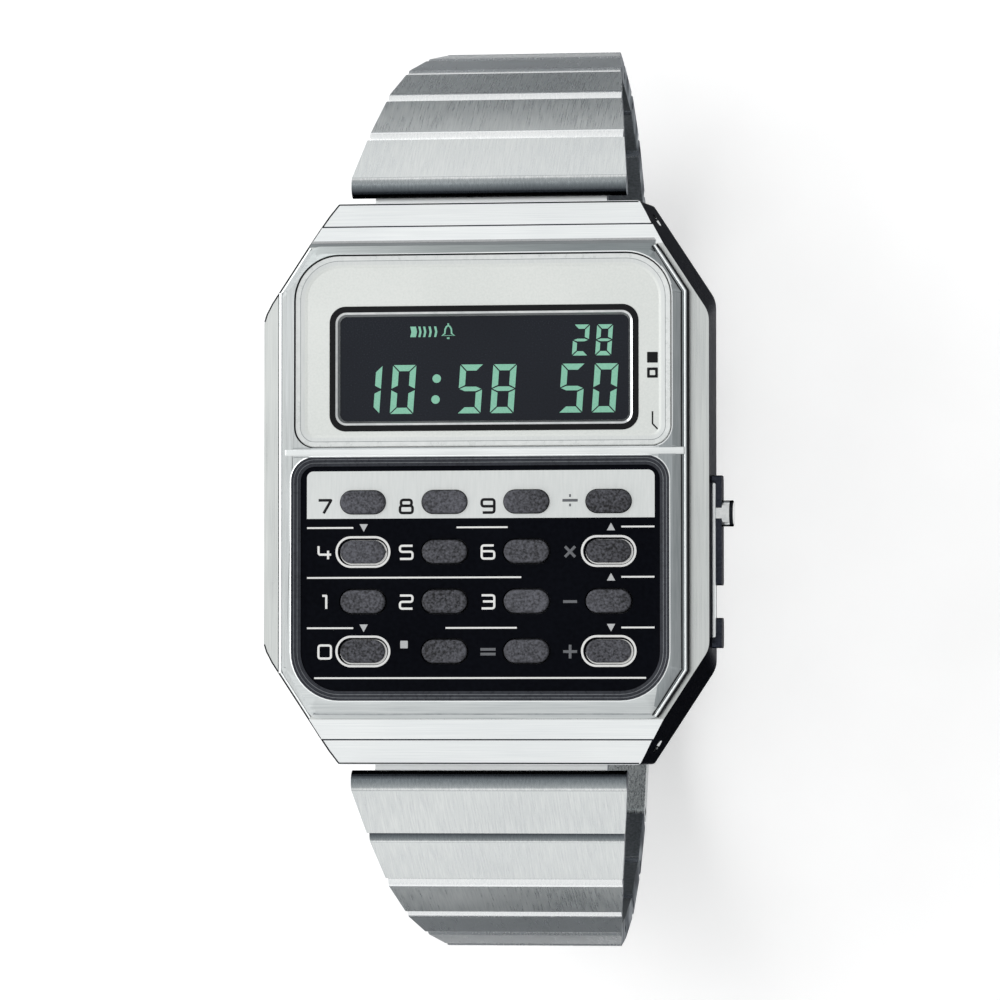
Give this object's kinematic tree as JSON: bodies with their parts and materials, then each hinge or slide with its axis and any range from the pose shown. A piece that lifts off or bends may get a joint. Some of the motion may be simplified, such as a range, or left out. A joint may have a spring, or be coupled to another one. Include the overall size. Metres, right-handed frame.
{
  "type": "calculator watch",
  "caption": "Digital wristwatch with a calculator keypad under its display, an angular steel case and a tapering folding-clasp link bracelet.",
  "frame": {"origin": "centre of the flat outer face of the closed clasp, on which the watch stands", "axes": "+Z is the way the dial faces, +Y points to 12 o'clock, +X points to the button side"},
  "size_m": [0.0359, 0.073, 0.059],
  "materials": {
    "chromed_case": "mirror plate with brushed facets",
    "brushed_steel": "lengthwise brushed",
    "polished_steel": "polished",
    "clear_window": "polished",
    "display_glass": "dark negative display",
    "black_panel": "satin",
    "key_rubber": "fine grain",
    "mat_rubber": "matte",
    "module_plastic": "moulded",
    "circuit_board": "solder mask",
    "battery_steel": "nickel plate",
    "buzzer_brass": "plain"
  },
  "bodies": {
    "case": {"case_body": "chromed_case", "front_bezel": "brushed_steel", "display_window": "clear_window", "keypad_panel": "black_panel", "lcd_glass": "display_glass", "keypad_mat": "mat_rubber", "module_frame": "module_plastic", "circuit_board": "circuit_board", "connector_strips": "mat_rubber", "battery": "battery_steel", "side_contacts": "polished_steel", "buzzer": "buzzer_brass", "back_gasket": "mat_rubber", "back_cover": "brushed_steel", "back_screws": "polished_steel", "lug_spring_bars": "polished_steel"},
    "key_7": {"key_7": "key_rubber"},
    "key_8": {"key_8": "key_rubber"},
    "key_9": {"key_9": "key_rubber"},
    "key_divide": {"key_divide": "key_rubber"},
    "key_4": {"key_4": "key_rubber"},
    "key_5": {"key_5": "key_rubber"},
    "key_6": {"key_6": "key_rubber"},
    "key_times": {"key_times": "key_rubber"},
    "key_1": {"key_1": "key_rubber"},
    "key_2": {"key_2": "key_rubber"},
    "key_3": {"key_3": "key_rubber"},
    "key_minus": {"key_minus": "key_rubber"},
    "key_0": {"key_0": "key_rubber"},
    "key_point": {"key_point": "key_rubber"},
    "key_equals": {"key_equals": "key_rubber"},
    "key_plus": {"key_plus": "key_rubber"},
    "mode_button": {"mode_button": "polished_steel"},
    "adjust_button": {"adjust_button": "polished_steel"},
    "band_12_01": {"link_12_01": "brushed_steel"},
    "band_12_02": {"link_12_02": "brushed_steel"},
    "band_12_03": {"link_12_03": "brushed_steel"},
    "band_12_04": {"link_12_04": "brushed_steel"},
    "band_12_05": {"link_12_05": "brushed_steel"},
    "band_12_06": {"link_12_06": "brushed_steel"},
    "band_12_07": {"link_12_07": "brushed_steel"},
    "band_12_08": {"link_12_08": "brushed_steel"},
    "band_12_09": {"link_12_09": "brushed_steel"},
    "band_12_10": {"link_12_10": "brushed_steel", "clasp_spring_bar": "polished_steel"},
    "band_6_01": {"link_6_01": "brushed_steel"},
    "band_6_02": {"link_6_02": "brushed_steel"},
    "band_6_03": {"link_6_03": "brushed_steel"},
    "band_6_04": {"link_6_04": "brushed_steel"},
    "band_6_05": {"link_6_05": "brushed_steel"},
    "band_6_06": {"link_6_06": "brushed_steel"},
    "band_6_07": {"link_6_07": "brushed_steel"},
    "band_6_08": {"link_6_08": "brushed_steel"},
    "band_6_09": {"link_6_09": "brushed_steel"},
    "band_tail": {"band_tail": "brushed_steel"},
    "slider": {"clasp_slider": "brushed_steel"},
    "blade": {"clasp_blade": "brushed_steel", "clasp_pins": "polished_steel"},
    "cover": {"clasp_cover": "brushed_steel"},
    "lock": {"clasp_lock": "polished_steel"}
  },
  "joints": [
    {"name": "band_12_swing", "type": "hinge", "parent": "case", "child": "band_12_01", "pos_m": [0, 0.0202, 0.05443], "axis": [1, 0, 0], "range_deg": [0, 15]},
    {"name": "band_12_bend_02", "type": "hinge", "parent": "band_12_01", "child": "band_12_02", "pos_m": [0, 0.02694, 0.05078], "axis": [1, 0, 0], "range_deg": [0, 5.5]},
    {"name": "band_12_bend_03", "type": "hinge", "parent": "band_12_02", "child": "band_12_03", "pos_m": [0, 0.03045, 0.04567], "axis": [1, 0, 0], "range_deg": [0, 10.5]},
    {"name": "band_12_bend_04", "type": "hinge", "parent": "band_12_03", "child": "band_12_04", "pos_m": [0, 0.03297, 0.04001], "axis": [1, 0, 0], "range_deg": [0, 9]},
    {"name": "band_12_bend_05", "type": "hinge", "parent": "band_12_04", "child": "band_12_05", "pos_m": [0, 0.03457, 0.03402], "axis": [1, 0, 0], "range_deg": [0, 5]},
    {"name": "band_12_bend_06", "type": "hinge", "parent": "band_12_05", "child": "band_12_06", "pos_m": [0, 0.03565, 0.02791], "axis": [1, 0, 0], "range_deg": [0, 13]},
    {"name": "band_12_bend_07", "type": "hinge", "parent": "band_12_06", "child": "band_12_07", "pos_m": [0, 0.03533, 0.02172], "axis": [1, 0, 0], "range_deg": [0, 14]},
    {"name": "band_12_bend_08", "type": "hinge", "parent": "band_12_07", "child": "band_12_08", "pos_m": [0, 0.03351, 0.01579], "axis": [1, 0, 0], "range_deg": [0, 14]},
    {"name": "band_12_bend_09", "type": "hinge", "parent": "band_12_08", "child": "band_12_09", "pos_m": [0, 0.03032, 0.01048], "axis": [1, 0, 0], "range_deg": [0, 14]},
    {"name": "band_12_bend_10", "type": "hinge", "parent": "band_12_09", "child": "band_12_10", "pos_m": [0, 0.02594, 0.00609], "axis": [1, 0, 0], "range_deg": [0, 14]},
    {"name": "band_6_swing", "type": "hinge", "parent": "case", "child": "band_6_01", "pos_m": [0, -0.0202, 0.05443], "axis": [-1, 0, 0], "range_deg": [0, 15]},
    {"name": "band_6_bend_02", "type": "hinge", "parent": "band_6_01", "child": "band_6_02", "pos_m": [0, -0.02694, 0.05078], "axis": [-1, 0, 0], "range_deg": [0, 5.5]},
    {"name": "band_6_bend_03", "type": "hinge", "parent": "band_6_02", "child": "band_6_03", "pos_m": [0, -0.03045, 0.04567], "axis": [-1, 0, 0], "range_deg": [0, 10.5]},
    {"name": "band_6_bend_04", "type": "hinge", "parent": "band_6_03", "child": "band_6_04", "pos_m": [0, -0.03297, 0.04001], "axis": [-1, 0, 0], "range_deg": [0, 9]},
    {"name": "band_6_bend_05", "type": "hinge", "parent": "band_6_04", "child": "band_6_05", "pos_m": [0, -0.03457, 0.03402], "axis": [-1, 0, 0], "range_deg": [0, 5]},
    {"name": "band_6_bend_06", "type": "hinge", "parent": "band_6_05", "child": "band_6_06", "pos_m": [0, -0.03565, 0.02791], "axis": [-1, 0, 0], "range_deg": [0, 13]},
    {"name": "band_6_bend_07", "type": "hinge", "parent": "band_6_06", "child": "band_6_07", "pos_m": [0, -0.03533, 0.02172], "axis": [-1, 0, 0], "range_deg": [0, 14]},
    {"name": "band_6_bend_08", "type": "hinge", "parent": "band_6_07", "child": "band_6_08", "pos_m": [0, -0.03351, 0.01579], "axis": [-1, 0, 0], "range_deg": [0, 14]},
    {"name": "band_6_bend_09", "type": "hinge", "parent": "band_6_08", "child": "band_6_09", "pos_m": [0, -0.03032, 0.01048], "axis": [-1, 0, 0], "range_deg": [0, 14]},
    {"name": "band_6_bend_10", "type": "hinge", "parent": "band_6_09", "child": "band_tail", "pos_m": [0, -0.02594, 0.00609], "axis": [-1, 0, 0], "range_deg": [0, 20.27]},
    {"name": "slider_adjust", "type": "slide", "parent": "band_tail", "child": "slider", "axis": [0, -1, 0], "range_m": [0, 0.006]},
    {"name": "clasp_fold", "type": "hinge", "parent": "slider", "child": "blade", "pos_m": [0, 0.01322, 0.0017], "axis": [1, 0, 0], "range_deg": [0, 165]},
    {"name": "cover_fold", "type": "hinge", "parent": "blade", "child": "cover", "pos_m": [0, -0.01348, 0.0017], "axis": [-1, 0, 0], "range_deg": [0, 165.01]},
    {"name": "lock_flip", "type": "hinge", "parent": "slider", "child": "lock", "pos_m": [0, 0.01062, 0.005], "axis": [-1, 0, 0], "range_deg": [0, 100]},
    {"name": "mode_button_press", "type": "slide", "parent": "case", "child": "mode_button", "axis": [-1, 0, 0], "range_m": [0, 0.0006], "stiffness_N_per_m": 1500, "springref_m": -0.0002},
    {"name": "adjust_button_press", "type": "slide", "parent": "case", "child": "adjust_button", "axis": [-1, 0, 0], "range_m": [0, 0.0006], "stiffness_N_per_m": 1500, "springref_m": -0.0002},
    {"name": "key_7_press", "type": "slide", "parent": "case", "child": "key_7", "axis": [0, 0, -1], "range_m": [0, 0.0004], "stiffness_N_per_m": 500, "springref_m": -0.0002},
    {"name": "key_8_press", "type": "slide", "parent": "case", "child": "key_8", "axis": [0, 0, -1], "range_m": [0, 0.0004], "stiffness_N_per_m": 500, "springref_m": -0.0002},
    {"name": "key_9_press", "type": "slide", "parent": "case", "child": "key_9", "axis": [0, 0, -1], "range_m": [0, 0.0004], "stiffness_N_per_m": 500, "springref_m": -0.0002},
    {"name": "key_divide_press", "type": "slide", "parent": "case", "child": "key_divide", "axis": [0, 0, -1], "range_m": [0, 0.0004], "stiffness_N_per_m": 500, "springref_m": -0.0002},
    {"name": "key_4_press", "type": "slide", "parent": "case", "child": "key_4", "axis": [0, 0, -1], "range_m": [0, 0.0004], "stiffness_N_per_m": 500, "springref_m": -0.0002},
    {"name": "key_5_press", "type": "slide", "parent": "case", "child": "key_5", "axis": [0, 0, -1], "range_m": [0, 0.0004], "stiffness_N_per_m": 500, "springref_m": -0.0002},
    {"name": "key_6_press", "type": "slide", "parent": "case", "child": "key_6", "axis": [0, 0, -1], "range_m": [0, 0.0004], "stiffness_N_per_m": 500, "springref_m": -0.0002},
    {"name": "key_times_press", "type": "slide", "parent": "case", "child": "key_times", "axis": [0, 0, -1], "range_m": [0, 0.0004], "stiffness_N_per_m": 500, "springref_m": -0.0002},
    {"name": "key_1_press", "type": "slide", "parent": "case", "child": "key_1", "axis": [0, 0, -1], "range_m": [0, 0.0004], "stiffness_N_per_m": 500, "springref_m": -0.0002},
    {"name": "key_2_press", "type": "slide", "parent": "case", "child": "key_2", "axis": [0, 0, -1], "range_m": [0, 0.0004], "stiffness_N_per_m": 500, "springref_m": -0.0002},
    {"name": "key_3_press", "type": "slide", "parent": "case", "child": "key_3", "axis": [0, 0, -1], "range_m": [0, 0.0004], "stiffness_N_per_m": 500, "springref_m": -0.0002},
    {"name": "key_minus_press", "type": "slide", "parent": "case", "child": "key_minus", "axis": [0, 0, -1], "range_m": [0, 0.0004], "stiffness_N_per_m": 500, "springref_m": -0.0002},
    {"name": "key_0_press", "type": "slide", "parent": "case", "child": "key_0", "axis": [0, 0, -1], "range_m": [0, 0.0004], "stiffness_N_per_m": 500, "springref_m": -0.0002},
    {"name": "key_point_press", "type": "slide", "parent": "case", "child": "key_point", "axis": [0, 0, -1], "range_m": [0, 0.0004], "stiffness_N_per_m": 500, "springref_m": -0.0002},
    {"name": "key_equals_press", "type": "slide", "parent": "case", "child": "key_equals", "axis": [0, 0, -1], "range_m": [0, 0.0004], "stiffness_N_per_m": 500, "springref_m": -0.0002},
    {"name": "key_plus_press", "type": "slide", "parent": "case", "child": "key_plus", "axis": [0, 0, -1], "range_m": [0, 0.0004], "stiffness_N_per_m": 500, "springref_m": -0.0002}
  ],
  "couplings": [
    {"joint": "cover_fold", "follows": "clasp_fold", "ratio": 1}
  ]
}
